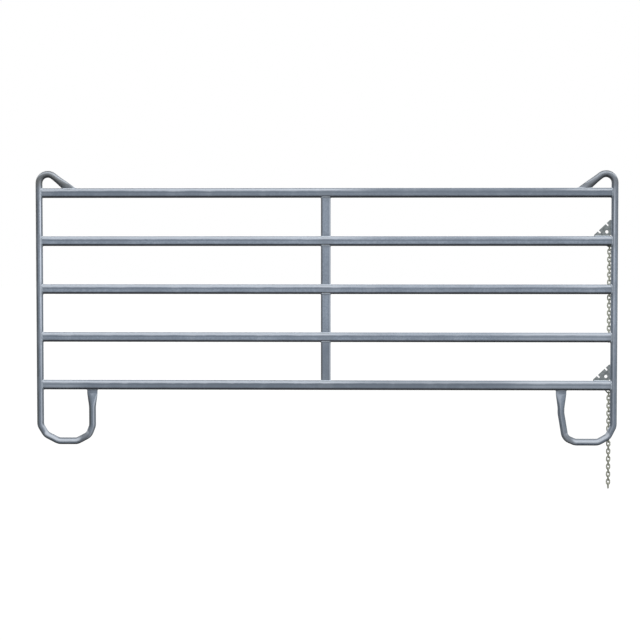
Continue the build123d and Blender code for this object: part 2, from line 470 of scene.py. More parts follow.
def set_inputs(tree, made, inputs):
    """Fills a node's inputs. Each is a plain value or the output of another node."""
    for key, value in inputs.items():
        if isinstance(value, bpy.types.NodeSocket):
            tree.links.new(value, made.inputs[key])
        else:
            made.inputs[key].default_value = value


def add_node(tree, kind, inputs=None, **settings):
    """Adds a node with its settings and inputs."""
    made = tree.nodes.new(kind)
    for name, value in settings.items():
        setattr(made, name, value)
    set_inputs(tree, made, inputs or {})
    return made


def calc(tree, operation, one, two=0.0):
    """A Math node's output."""
    return add_node(tree, "ShaderNodeMath", {0: one, 1: two}, operation=operation).outputs[0]


def product(tree, first, *others):
    """Values multiplied by each other."""
    for other in others:
        first = calc(tree, "MULTIPLY", first, other)
    return first


def highest(tree, first, *others):
    """The highest of some values."""
    for other in others:
        first = calc(tree, "MAXIMUM", first, other)
    return first


def vector_calc(tree, operation, inputs):
    """A Vector Math node's output."""
    return add_node(tree, "ShaderNodeVectorMath", inputs, operation=operation).outputs[0]


def ranged(tree, value, low, high, to_low=0.0, to_high=1.0):
    """A value brought smoothly from one range to another."""
    inputs = {"Value": value, "From Min": low, "From Max": high, "To Min": to_low, "To Max": to_high}
    return add_node(tree, "ShaderNodeMapRange", inputs, interpolation_type="SMOOTHSTEP").outputs[0]


def by_mask(tree, mask, bare, full):
    """A value that goes smoothly from one number to another as a mask goes from 0 to 1."""
    return ranged(tree, mask, 0.0, 1.0, bare, full)


def blend(tree, factor, one, two):
    """A colour between two colours."""
    inputs = {"Factor": factor, MIX_ONE: one, MIX_TWO: two}
    return add_node(tree, "ShaderNodeMix", inputs, data_type="RGBA").outputs[MIX_RESULT]


def coated(tree, under, coat, mask):
    """A colour with a coat over it where a mask shows, for weather and for painted light and shade."""
    return blend(tree, product(tree, mask, coat.share), under, coat.colour)


def cloud(tree, place, scale, detail, roughness=0.5):
    """Outputs of soft noise at a place."""
    inputs = {"Vector": place, "Scale": scale, "Detail": detail, "Roughness": roughness}
    return add_node(tree, "ShaderNodeTexNoise", inputs).outputs


def relief(tree, height, strength, depth):
    """A surface direction that follows a height."""
    inputs = {"Height": height, "Strength": strength, "Distance": depth}
    return add_node(tree, "ShaderNodeBump", inputs).outputs[0]


def object_place(tree):
    """Where a point of a piece is, in the panel's frame."""
    return add_node(tree, "ShaderNodeTexCoord").outputs["Object"]


def parted(tree, vector):
    """The X, Y and Z of a vector."""
    return add_node(tree, "ShaderNodeSeparateXYZ", {0: vector}).outputs


def facing_parts(tree):
    """How far a surface faces along X, Y and Z."""
    return parted(tree, add_node(tree, "ShaderNodeTexCoord").outputs["Normal"])


def new_group(name, inputs, outputs):
    """An empty node group with its sockets. Gives its tree, what it is given, and its end node."""
    tree = bpy.data.node_groups.new(name, "ShaderNodeTree")
    for socket_name, value in inputs.items():
        kind = "NodeSocketVector" if isinstance(value, tuple) else "NodeSocketFloat"
        socket = tree.interface.new_socket(socket_name, in_out="INPUT", socket_type=kind)
        socket.default_value = value
    for socket_name in outputs:
        tree.interface.new_socket(socket_name, in_out="OUTPUT", socket_type="NodeSocketFloat")
    return tree, tree.nodes.new("NodeGroupInput").outputs, tree.nodes.new("NodeGroupOutput")


def place_group(tree, group, inputs=None):
    """A shared group placed in a material. Gives its outputs."""
    return add_node(tree, "ShaderNodeGroup", inputs, node_tree=group).outputs


def new_material(name):
    """An empty node material with its shader."""
    material = bpy.data.materials.new(name)
    material.use_nodes = True
    return material, material.node_tree, material.node_tree.nodes["Principled BSDF"]


# Effects that the finishes share

# How much of a tone is its main pattern
MAIN_TONE_SHARE = 0.6

# Zinc crystals: how many, how far their edges wander, and how fine and how deep they are
CRYSTALS_PER_METRE = 140.0
CRYSTAL_WANDER = 0.8
CRYSTAL_FINENESS = 5.0
CRYSTAL_EDGE_DEPTH = 0.5

# Grain of bare metal: how much coarser its pits are, and the levels that its tone is spread from
PIT_COARSENESS = 0.12
GRAIN_LEVELS = (0.32, 0.68)

# Weather on zinc: how many patches, streaks and stains, and the levels where they start and are full
PATCHES_PER_METRE = 9.0
STREAKS_PER_METRE = 85.0
STAINS_PER_METRE = 3.2
BLOOM_LEVELS = (0.48, 0.72)
STREAK_LEVELS = (0.34, 0.68)
STAIN_LEVELS = (0.35, 0.65)

# How far a face points up or aside where a part of the weather and of the painted light and shade starts
# and is full
CREST_LEAVES = (0.45, 0.75)
TOP_FACING = (0.5, 0.85)
LEFT_FACING = (0.05, -0.5)
RIGHT_FACING = (0.35, 0.85)
RIM_FACING = (0.88, 0.98)
RIM_SHARE = 0.25

# Ragged edge of the dull bands at welds
RAGS_PER_METRE = 70.0


def toned(tree, main, other):
    """A tone of two patterns."""
    rest = product(tree, other, 1 - MAIN_TONE_SHARE)
    return calc(tree, "ADD", product(tree, main, MAIN_TONE_SHARE), rest)


def zinc_crystals():
    """Frosty zinc crystals: a tone for each crystal, and the low relief of their edges."""
    inputs = {"Crystals per Metre": CRYSTALS_PER_METRE}
    tree, given, result = new_group("zinc_crystals", inputs, ("Tone", "Height"))
    scale = given["Crystals per Metre"]
    place = object_place(tree)
    wander = cloud(tree, place, scale, detail=2.0)["Color"]
    shift = vector_calc(tree, "SCALE", {0: wander, "Scale": calc(tree, "DIVIDE", CRYSTAL_WANDER, scale)})
    wandered = vector_calc(tree, "ADD", {0: place, 1: shift})
    cells = add_node(tree, "ShaderNodeTexVoronoi", {"Vector": wandered, "Scale": scale}).outputs
    own = add_node(tree, "ShaderNodeSeparateColor", {0: cells["Color"]}).outputs[0]
    fine = cloud(tree, wandered, product(tree, scale, CRYSTAL_FINENESS), detail=3.0)["Fac"]
    tone = toned(tree, own, fine)
    height = calc(tree, "SUBTRACT", tone, product(tree, cells["Distance"], CRYSTAL_EDGE_DEPTH))
    set_inputs(tree, result, {"Tone": tone, "Height": height})
    return tree


def zinc_weather_and_light():
    """Weather and painted light on zinc: a painted highlight on crests, bloom, drawn streaks, painted shade
    underneath, dirt on top, and masks of both sides for painted side light and shade.
    """
    inputs = {
        "Stretch": (1.0, 1.0, 1.0),
        "Rise": 0.0,
        "Crest Start": 0.1,
        "Crest Full": 0.6,
        "Crest on Top": 0.1,
        "Shade Start": -0.08,
        "Shade Full": -0.55,
        "Unevenness": 0.4,
    }
    outputs = ("Crest", "Bloom", "Streak", "Shade Below", "Broad", "Top", "Left Side", "Right Side")
    tree, given, result = new_group("zinc_weather_and_light", inputs, outputs)
    place = object_place(tree)
    facing = facing_parts(tree)
    patches = cloud(tree, place, PATCHES_PER_METRE, detail=6.0, roughness=0.62)["Fac"]
    stretched = vector_calc(tree, "MULTIPLY", {0: place, 1: given["Stretch"]})
    streaks = cloud(tree, stretched, STREAKS_PER_METRE, detail=4.0, roughness=0.6)["Fac"]
    stains = cloud(tree, place, STAINS_PER_METRE, detail=1.0)["Fac"]
    uneven = product(tree, calc(tree, "SUBTRACT", patches, 0.5), given["Unevenness"])
    up = calc(tree, "ADD", calc(tree, "ADD", facing["Z"], given["Rise"]), uneven)
    crest = ranged(tree, up, given["Crest Start"], given["Crest Full"])
    off_top = ranged(tree, facing["Z"], *CREST_LEAVES, 1.0, given["Crest on Top"])
    off_rim = ranged(tree, calc(tree, "ABSOLUTE", facing["X"]), *RIM_FACING, 1.0, RIM_SHARE)
    set_inputs(tree, result, {
        "Crest": product(tree, crest, off_top),
        "Bloom": ranged(tree, patches, *BLOOM_LEVELS),
        "Streak": ranged(tree, streaks, *STREAK_LEVELS),
        "Shade Below": ranged(tree, up, given["Shade Start"], given["Shade Full"]),
        "Broad": ranged(tree, stains, *STAIN_LEVELS),
        "Top": ranged(tree, facing["Z"], *TOP_FACING),
        "Left Side": product(tree, ranged(tree, facing["X"], *LEFT_FACING), off_rim),
        "Right Side": product(tree, ranged(tree, facing["X"], *RIGHT_FACING), off_rim),
    })
    return tree


def weld_scorch():
    """Dull band on a tube beside each of its evenly spaced welds."""
    inputs = {"Way Along": 0.0, "First Weld": 0.0, "Weld Pitch": 1.0, "Half Width": 0.03, "Fade": 0.03}
    tree, given, result = new_group("weld_scorch", inputs, ("Band",))
    from_first = calc(tree, "SUBTRACT", given["Way Along"], given["First Weld"])
    off_weld = calc(tree, "PINGPONG", from_first, product(tree, given["Weld Pitch"], 0.5))
    ragged = cloud(tree, object_place(tree), RAGS_PER_METRE, detail=4.0)["Fac"]
    shift = product(tree, calc(tree, "SUBTRACT", ragged, 0.5), given["Fade"])
    far = calc(tree, "ADD", given["Half Width"], given["Fade"])
    band = ranged(tree, calc(tree, "ADD", off_weld, shift), far, given["Half Width"])
    set_inputs(tree, result, {"Band": band})
    return tree


def metal_grain():
    """Fine grain and pits of bare or cut metal."""
    tree, given, result = new_group("metal_grain", {"Grains per Metre": 600.0}, ("Tone", "Height"))
    place = object_place(tree)
    scale = given["Grains per Metre"]
    fine = cloud(tree, place, scale, detail=4.0, roughness=0.65)["Fac"]
    pits = cloud(tree, place, product(tree, scale, PIT_COARSENESS), detail=3.0)["Fac"]
    tone = ranged(tree, toned(tree, fine, pits), *GRAIN_LEVELS)
    set_inputs(tree, result, {"Tone": tone, "Height": fine})
    return tree


CRYSTALS = zinc_crystals()
WEATHER_AND_LIGHT = zinc_weather_and_light()
SCORCH = weld_scorch()
GRAIN = metal_grain()

ZINC_SPECULAR = 0.3


# Finish of all tubes

CRYSTAL_DARK = (0.18, 0.22, 0.28, 1)
CRYSTAL_PALE = (0.33, 0.388, 0.475, 1)
DARK_BATCH = Coat((0.125, 0.152, 0.19, 1), 0.7)
BROAD_STAIN = Coat((0.15, 0.182, 0.232, 1), 0.35)
DRAWN_STREAK = Coat((0.16, 0.19, 0.235, 1), 0.4)
ZINC_BLOOM = Coat((0.42, 0.47, 0.54, 1), 0.18)
WELD_SCORCH = Coat((0.25, 0.285, 0.335, 1), 0.3)
# Painted shade underneath the tubes, and a painted highlight on their crests
UNDER_SHADE = Coat((0.042, 0.046, 0.052, 1), 0.92)
CREST_COLOUR = (0.57, 0.62, 0.69, 1)
STREAK_STRETCH = 0.025

# How metallic and rough the zinc is: clean and dull, and what crystals, dullness and the painted shade
# underneath change
TUBE_METALLIC = (0.16, 0.02)
TUBE_ROUGHNESS = 0.60
CRYSTAL_GLOSS = 0.22
DULL_ROUGHNESS = 0.12
UNDER_SHADE_ROUGHNESS = 0.25
BLOOM_DULLNESS = 0.5
CRYSTAL_RELIEF = (0.35, 0.0003)

# The groups on a tube, placed
TubeSurface = namedtuple("TubeSurface", "crystals weather scorch")


def tube_surface(tree, weather_inputs, way_along, first_weld, weld_pitch):
    """Crystals, weather and weld bands of a tube."""
    scorch_inputs = {"Way Along": way_along, "First Weld": first_weld, "Weld Pitch": weld_pitch}
    scorch_inputs["Half Width"] = RAIL_HEIGHT / 2
    return TubeSurface(
        place_group(tree, CRYSTALS),
        place_group(tree, WEATHER_AND_LIGHT, weather_inputs),
        place_group(tree, SCORCH, scorch_inputs)["Band"],
    )


def tube_colour(tree, surface, darker):
    """Bluish zinc with faint crystals and streaks along the tube, darker where a mask shows."""
    zinc = blend(tree, surface.crystals["Tone"], CRYSTAL_DARK, CRYSTAL_PALE)
    batch = coated(tree, zinc, DARK_BATCH, darker)
    stained = coated(tree, batch, BROAD_STAIN, surface.weather["Broad"])
    streaked = coated(tree, stained, DRAWN_STREAK, surface.weather["Streak"])
    return coated(tree, streaked, ZINC_BLOOM, surface.weather["Bloom"])


def finish_tube(tree, shader, surface, colour, crest_share):
    """Weld bands, painted highlight on the crests and painted shade underneath over a tube's colour, and
    how it shines.
    """
    weather = surface.weather
    scorched = coated(tree, colour, WELD_SCORCH, surface.scorch)
    # Painted highlight on the crests
    crested = blend(tree, product(tree, weather["Crest"], crest_share), scorched, CREST_COLOUR)
    bloom_dull = product(tree, weather["Bloom"], BLOOM_DULLNESS)
    dull = highest(tree, bloom_dull, surface.scorch, weather["Crest"], weather["Shade Below"])
    crystal_gloss = product(tree, surface.crystals["Tone"], CRYSTAL_GLOSS)
    clean_rough = calc(tree, "SUBTRACT", TUBE_ROUGHNESS, crystal_gloss)
    worn_rough = calc(tree, "ADD", clean_rough, product(tree, dull, DULL_ROUGHNESS))
    set_inputs(tree, shader, {
        "Base Color": coated(tree, crested, UNDER_SHADE, weather["Shade Below"]),
        "Metallic": by_mask(tree, dull, *TUBE_METALLIC),
        "Roughness": calc(tree, "ADD", worn_rough, product(tree, weather["Shade Below"], UNDER_SHADE_ROUGHNESS)),
        "Specular IOR Level": ZINC_SPECULAR,
        "Normal": relief(tree, surface.crystals["Height"], *CRYSTAL_RELIEF),
    })


# Finish of the rails. Two numbers are where weather and painted light and shade start and are full, or
# their shares there.

# How much the height on a rail adds to the weather and the painted light and shade on it, for each metre
RISE_PER_METRE = 12.0

# Painted highlight band along the rails, a little fainter on the top one
RAIL_CREST_START = 0.10
RAIL_CREST_FULL = 0.22
RAIL_UNEVENNESS = 0.2
RAIL_CREST_SHARES = (0.9, 0.84)

# Painted shade: a dark line along the rails under their painted highlight band
RAIL_LINE = Coat((0.11, 0.133, 0.168, 1), 0.5)
RAIL_LINE_RISE = 0.05
RAIL_LINE_WIDTHS = (0.065, 0.03)

# Darker batch of the bottom and top rails, strongest in the middle of the bottom one
BOTTOM_RAIL_HEIGHTS = (0.58, 0.46)
TOP_RAIL_HEIGHTS = (1.36, 1.48)
BATCH_WAYS = (0.5, 1.4)
BATCH_SHARES = (1.25, 0.9)

# Paler ends of the low rails
PALE_END_ZINC = Coat((0.42, 0.47, 0.54, 1), 0.35)
LOW_RAIL_HEIGHTS = (0.9, 0.75)
PALE_RIGHT_WAYS = (1.0, 1.35)
PALE_LEFT_WAYS = (-1.45, -1.6)

# Stretch right of the struts where painted shade hides the painted highlight band, most on the high rails
SHADED_START_WAYS = (0.0, 0.35)
SHADED_END_WAYS = (1.65, 1.3)
SHADED_HEIGHTS = (1.0, 1.5)
SHADED_SHARES = (0.45, 0.72)


def rise_on_rail(tree, place):
    """Height over the middle of the rail, as a share that the weather and the painted light and shade add
    to how far a face points up.
    """
    from_lowest = calc(tree, "ADD", place["Z"], RAIL_PITCH / 2 - BOTTOM_RAIL_Z)
    in_pitch = calc(tree, "FLOORED_MODULO", from_lowest, RAIL_PITCH)
    return product(tree, calc(tree, "SUBTRACT", in_pitch, RAIL_PITCH / 2), RISE_PER_METRE)


def find_pale_ends(tree, place, on_bottom_rail):
    """Right ends of the two low rails and left end of the bottom one."""
    on_low_rails = ranged(tree, place["Z"], *LOW_RAIL_HEIGHTS)
    right_end = product(tree, on_low_rails, ranged(tree, place["X"], *PALE_RIGHT_WAYS))
    left_end = product(tree, on_bottom_rail, ranged(tree, place["X"], *PALE_LEFT_WAYS))
    return highest(tree, right_end, left_end)


def shaded_stretch(tree, place, pale_ends):
    """How much painted shade hides the painted highlight band on the right half of the rails."""
    started = ranged(tree, place["X"], *SHADED_START_WAYS)
    before_end = ranged(tree, place["X"], *SHADED_END_WAYS)
    share = ranged(tree, place["Z"], *SHADED_HEIGHTS, *SHADED_SHARES)
    return product(tree, started, before_end, share, calc(tree, "SUBTRACT", 1.0, pale_ends))


def make_rail_zinc():
    """Galvanised rail: a painted highlight band along it, a painted shade line under the band, painted
    shade underneath.
    """
    material, tree, shader = new_material("rail_zinc")
    place = parted(tree, object_place(tree))
    rise = rise_on_rail(tree, place)
    weather_inputs = {
        "Stretch": (STREAK_STRETCH, 1.0, 1.0),
        "Rise": rise,
        "Crest Start": RAIL_CREST_START,
        "Crest Full": RAIL_CREST_FULL,
        "Unevenness": RAIL_UNEVENNESS,
    }
    surface = tube_surface(tree, weather_inputs, place["X"], 0.0, POST_X)
    on_bottom_rail = ranged(tree, place["Z"], *BOTTOM_RAIL_HEIGHTS)
    on_top_rail = ranged(tree, place["Z"], *TOP_RAIL_HEIGHTS)
    batch_share = ranged(tree, calc(tree, "ABSOLUTE", place["X"]), *BATCH_WAYS, *BATCH_SHARES)
    darker = highest(tree, product(tree, on_bottom_rail, batch_share), on_top_rail)
    pale_ends = find_pale_ends(tree, place, on_bottom_rail)
    # Painted shade line along the rail
    off_line = calc(tree, "ABSOLUTE", calc(tree, "SUBTRACT", rise, RAIL_LINE_RISE))
    lightened = coated(tree, tube_colour(tree, surface, darker), PALE_END_ZINC, pale_ends)
    lined = coated(tree, lightened, RAIL_LINE, ranged(tree, off_line, *RAIL_LINE_WIDTHS))
    # Painted highlight band, fainter under the painted shade on the right half
    band_share = by_mask(tree, on_top_rail, *RAIL_CREST_SHARES)
    crest_share = calc(tree, "SUBTRACT", band_share, shaded_stretch(tree, place, pale_ends))
    finish_tube(tree, shader, surface, lined, crest_share)
    return material


# Finish of hoops and struts. Two numbers are where weather and painted light and shade start and are full,
# or their shares there.

# The posts' distance from the middle, and the heights of hoops and feet
POST_WAYS = (0.1, 0.2)
HOOP_HEIGHTS = (1.56, 1.63)
FOOT_HEIGHTS = (0.10, 0.05)

# Painted highlight on the crests: where it starts and is full on posts and on feet, and its share on posts
# and hoops
POST_CREST_STARTS = (0.2, -0.3)
POST_CREST_FULLS = (0.42, 0.05)
POST_CREST_SHARES = (0.7, 0.62)
FOOT_CREST_MORE = 0.2
DARK_END_CREST = 0.1

# Painted shade underneath: where it starts on posts and on hoops, and how much less of it is on the feet
POST_SHADE_STARTS = (-0.12, 0.12)
POST_SHADE_FULL = -0.8
FOOT_SHADE_LESS = 0.28

# Darker low ends of posts and struts
LOW_POST_HEIGHTS = (0.80, 0.40)
LOW_STRUT_HEIGHTS = (0.70, 0.60)

# Sides: a painted highlight on the struts' right, painted shade on the posts' right, and painted shade on
# the left, most at the left post
LIT_STRUT_SIDE = (0.48, 0.54, 0.61, 1)
SHADED_POST_SIDE = (0.12, 0.138, 0.155, 1)
RIGHT_SIDE_SHARE = 0.5
SHADED_SIDE = (0.075, 0.086, 0.095, 1)
SHADED_SIDE_SHARES = (0.9, 0.22)

# Lines along the struts: painted shade at the left edge, a thin dark line near the right edge, and a
# painted highlight line at the right edge; their places across the strut, and their shares
DARK_STRUT_LINES = (0.085, 0.096, 0.112, 1)
STRUT_DARK_LINE = (-0.0175, -0.0225)
STRUT_DARK_SHARE = 0.8
STRUT_THIN_LINE = 0.0175
STRUT_THIN_WIDTHS = (0.0045, 0.0015)
STRUT_THIN_SHARE = 0.22
STRUT_PALE_LINE = (0.0205, 0.0235)

# Dirt on top of bends and from hands on upper posts and hoops, and a darker tone at the pressed ends and
# the feet's inner bends
TOP_DIRT = Coat((0.11, 0.118, 0.122, 1), 0.6)
HAND_DIRT = Coat((0.09, 0.10, 0.11, 1), 0.35)
UPPER_POST_HEIGHTS = (1.12, 1.36)
DULL_HOOP = (0.15, 0.157, 0.157, 1)
DULL_HOOP_SHARES = (0.75, 0.4)
END_DARKENING = Coat((0.075, 0.08, 0.08, 1), 0.6)
PRESSED_END_WAYS = (1.745, 1.72)
PRESSED_END_LOW_HEIGHTS = (1.56, 1.58)
PRESSED_END_HIGH_HEIGHTS = (1.635, 1.608)
INNER_BEND_WAYS = (1.555, 1.505)

# Painted highlight stripe on the post tubes: how far it is turned from the front towards mid panel, and
# where it fades
POST_HIGHLIGHT = (0.68, 0.74, 0.84, 1)
LEFT_STRIPE_TURN = radians(30)
RIGHT_STRIPE_TURN = radians(13)
STRIPE_HALF_WIDTH = radians(8)
STRIPE_FRONT_FACING = (-0.2, -0.5)
STRIPE_FADE_HEIGHTS = (0.2, 1.5)
STRIPE_FADE_SHARES = (0.4, 1.0)
STRIPE_SIDE_SHARES = (1.0, 0.6)
STRIPE_HOOP_SHARES = (1.0, 0.2)

# Where a point of a hoop or a strut is
Upright = namedtuple("Upright", "post strut hoop foot dirty_ends")


def left_to_right(tree, place, left, right):
    """A value that goes from one number at the left post to another at the right post."""
    return ranged(tree, place["X"], -POST_X, POST_X, left, right)


def upright_masks(tree, place):
    """Masks of posts, struts, hoops, feet, and the darker ends of the hoops' tubes."""
    off_middle = calc(tree, "ABSOLUTE", place["X"])
    on_post = ranged(tree, off_middle, *POST_WAYS)
    on_foot = ranged(tree, place["Z"], *FOOT_HEIGHTS)
    inner_bend = product(tree, on_foot, ranged(tree, off_middle, *INNER_BEND_WAYS))
    above_rail = ranged(tree, place["Z"], *PRESSED_END_LOW_HEIGHTS)
    below_bend = ranged(tree, place["Z"], *PRESSED_END_HIGH_HEIGHTS)
    pressed_end = product(tree, below_bend, above_rail, ranged(tree, off_middle, *PRESSED_END_WAYS))
    return Upright(
        post=on_post,
        strut=calc(tree, "SUBTRACT", 1.0, on_post),
        hoop=ranged(tree, place["Z"], *HOOP_HEIGHTS),
        foot=on_foot,
        dirty_ends=highest(tree, pressed_end, inner_bend),
    )


def strut_lines(tree, place, on):
    """Dark lines along a strut: painted shade at its left edge, and a thin dark line near its right."""
    edge = product(tree, ranged(tree, place["X"], *STRUT_DARK_LINE), STRUT_DARK_SHARE)
    off_thin = calc(tree, "ABSOLUTE", calc(tree, "SUBTRACT", place["X"], STRUT_THIN_LINE))
    thin = product(tree, ranged(tree, off_thin, *STRUT_THIN_WIDTHS), STRUT_THIN_SHARE)
    return product(tree, highest(tree, edge, thin), on.strut)


def highlight_stripe(tree, place, on):
    """Where the painted highlight stripe on a post shows: on the front, turned towards mid panel."""
    facing = facing_parts(tree)
    seam = left_to_right(tree, place, sin(LEFT_STRIPE_TURN), -sin(RIGHT_STRIPE_TURN))
    off_stripe = calc(tree, "ABSOLUTE", calc(tree, "SUBTRACT", facing["X"], seam))
    stripe = ranged(tree, off_stripe, sin(2 * STRIPE_HALF_WIDTH), sin(STRIPE_HALF_WIDTH / 2))
    on_front = ranged(tree, facing["Y"], *STRIPE_FRONT_FACING)
    fading = ranged(tree, place["Z"], *STRIPE_FADE_HEIGHTS, *STRIPE_FADE_SHARES)
    side_share = left_to_right(tree, place, *STRIPE_SIDE_SHARES)
    hoop_share = by_mask(tree, on.hoop, *STRIPE_HOOP_SHARES)
    return product(tree, stripe, on_front, on.post, fading, side_share, hoop_share)


def upright_sides(tree, place, on, weather, colour):
    """Painted highlight and painted shade on the right and left sides of posts and struts over a tube's
    colour.
    """
    right_tone = blend(tree, on.post, LIT_STRUT_SIDE, SHADED_POST_SIDE)
    # Painted highlight line at a strut's right edge
    pale_line = product(tree, on.strut, ranged(tree, place["X"], *STRUT_PALE_LINE))
    right = product(tree, highest(tree, weather["Right Side"], pale_line), RIGHT_SIDE_SHARE)
    righted = blend(tree, right, colour, right_tone)
    left = product(tree, weather["Left Side"], left_to_right(tree, place, *SHADED_SIDE_SHARES))
    sided = blend(tree, left, righted, SHADED_SIDE)
    return blend(tree, strut_lines(tree, place, on), sided, DARK_STRUT_LINES)


def upright_dirt(tree, place, on, weather, colour):
    """Dirt on posts and hoops, and darker ends of the hoops' tubes, over a tube's colour."""
    topped = coated(tree, colour, TOP_DIRT, weather["Top"])
    upper_post = product(tree, on.post, ranged(tree, place["Z"], *UPPER_POST_HEIGHTS))
    handled = coated(tree, topped, HAND_DIRT, upper_post)
    dull_hoop = product(tree, on.hoop, left_to_right(tree, place, *DULL_HOOP_SHARES))
    carried = blend(tree, dull_hoop, handled, DULL_HOOP)
    return coated(tree, carried, END_DARKENING, on.dirty_ends)


def make_upright_zinc():
    """Galvanised hoop or strut: darker low ends, dull hoops, painted side light and shade, and a painted
    highlight stripe on the posts.
    """
    material, tree, shader = new_material("upright_zinc")
    place = parted(tree, object_place(tree))
    on = upright_masks(tree, place)
    hoop_shade = by_mask(tree, on.hoop, *POST_SHADE_STARTS)
    weather_inputs = {
        "Stretch": (1.0, 1.0, STREAK_STRETCH),
        "Crest Start": by_mask(tree, on.foot, *POST_CREST_STARTS),
        "Crest Full": by_mask(tree, on.foot, *POST_CREST_FULLS),
        "Shade Start": calc(tree, "SUBTRACT", hoop_shade, product(tree, on.foot, FOOT_SHADE_LESS)),
        "Shade Full": POST_SHADE_FULL,
    }
    surface = tube_surface(tree, weather_inputs, place["Z"], BOTTOM_RAIL_Z, RAIL_PITCH)
    low_strut = product(tree, on.strut, ranged(tree, place["Z"], *LOW_STRUT_HEIGHTS))
    darker = highest(tree, ranged(tree, place["Z"], *LOW_POST_HEIGHTS), low_strut)
    sided = upright_sides(tree, place, on, surface.weather, tube_colour(tree, surface, darker))
    dirty = upright_dirt(tree, place, on, surface.weather, sided)
    # Painted highlight stripe on the posts
    striped = blend(tree, highlight_stripe(tree, place, on), dirty, POST_HIGHLIGHT)
    # Share of the painted highlight on the crests
    hoop_share = by_mask(tree, on.hoop, *POST_CREST_SHARES)
    clean_share = calc(tree, "ADD", hoop_share, product(tree, on.foot, FOOT_CREST_MORE))
    crest_share = product(tree, clean_share, by_mask(tree, on.dirty_ends, 1.0, DARK_END_CREST))
    finish_tube(tree, shader, surface, striped, crest_share)
    return material


# Finish of the chain plates

PLATE_GRAINS = 420.0
PLATE_DARK = (0.11, 0.126, 0.132, 1)
PLATE_PALE = (0.285, 0.312, 0.318, 1)
PLATE_BLOOM = Coat((0.42, 0.44, 0.45, 1), 0.2)
CUT_EDGE = Coat((0.10, 0.106, 0.108, 1), 0.6)
CUT_EDGE_FACING = (0.8, 0.4)
PLATE_ROUGHNESS = (0.66, 0.48)
PLATE_METALLIC = (0.14, 0.05)
PLATE_RELIEF = (0.35, 0.0006)


def make_plate_zinc():
    """Galvanised plate: darker and mottled, with dull cut edges."""
    material, tree, shader = new_material("plate_zinc")
    grain = place_group(tree, GRAIN, {"Grains per Metre": PLATE_GRAINS})
    weather = place_group(tree, WEATHER_AND_LIGHT)
    towards_face = calc(tree, "ABSOLUTE", facing_parts(tree)["Y"])
    cut_edge = ranged(tree, towards_face, *CUT_EDGE_FACING)
    zinc = blend(tree, grain["Tone"], PLATE_DARK, PLATE_PALE)
    paled = coated(tree, zinc, PLATE_BLOOM, weather["Bloom"])
    set_inputs(tree, shader, {
        "Base Color": coated(tree, paled, CUT_EDGE, cut_edge),
        "Roughness": by_mask(tree, grain["Tone"], *PLATE_ROUGHNESS),
        "Metallic": by_mask(tree, cut_edge, *PLATE_METALLIC),
        "Specular IOR Level": ZINC_SPECULAR,
        "Normal": relief(tree, grain["Height"], *PLATE_RELIEF),
    })
    return material


# Finish of chains and staples

WIRE_GRAINS = 1300.0
WIRE_DARK = (0.35, 0.365, 0.29, 1)
WIRE_PALE = (0.54, 0.56, 0.465, 1)
# Painted light: the wire paler higher up, against the shade that the rails cast on it
LIT_WIRE = Coat((0.68, 0.71, 0.60, 1), 0.45)
LIT_WIRE_HEIGHTS = (0.1, 0.6)
# Painted highlight on top of the wire, and painted shade underneath
WIRE_TOP_HIGHLIGHT = Coat((0.62, 0.64, 0.55, 1), 0.35)
WIRE_UNDER_SHADE = Coat((0.12, 0.125, 0.10, 1), 0.5)
WIRE_HEAT = Coat((0.20, 0.195, 0.16, 1), 0.4)
WIRE_SPECULAR = 0.4
WIRE_RELIEF = (0.15, 0.0002)

# Mud near the ground: thicker in dark grain than in pale grain, and on a link's outer side, where the
# darker colour is also painted shade
MUD_AND_SHADE = (0.15, 0.153, 0.115, 1)
MUD_HEIGHTS = (0.06, -0.02)
MUD_TONES = (0.15, 0.85)
MUD_TONE_SHARES = (1.2, 0.7)
MUD_AND_SHADE_SIDES = (0.5, 0.95)
MUD_AND_SHADE_SIDE_SHARES = (0.42, 0.8)

# Where links rub: the share of grain in it, and how rough and metallic the wire is off it and on it
RUBBED_WIRE = (0.58, 0.59, 0.56, 1)
RUB_GRAIN = 0.3
RUB_LEVELS = (0.45, 1.0)
WIRE_ROUGHNESS = (0.50, 0.30)
WIRE_METALLIC = (0.2, 0.6)


def wire_layer(tree, name):
    """A value that the wire's vertices carry."""
    return add_node(tree, "ShaderNodeAttribute", attribute_name=name).outputs["Fac"]


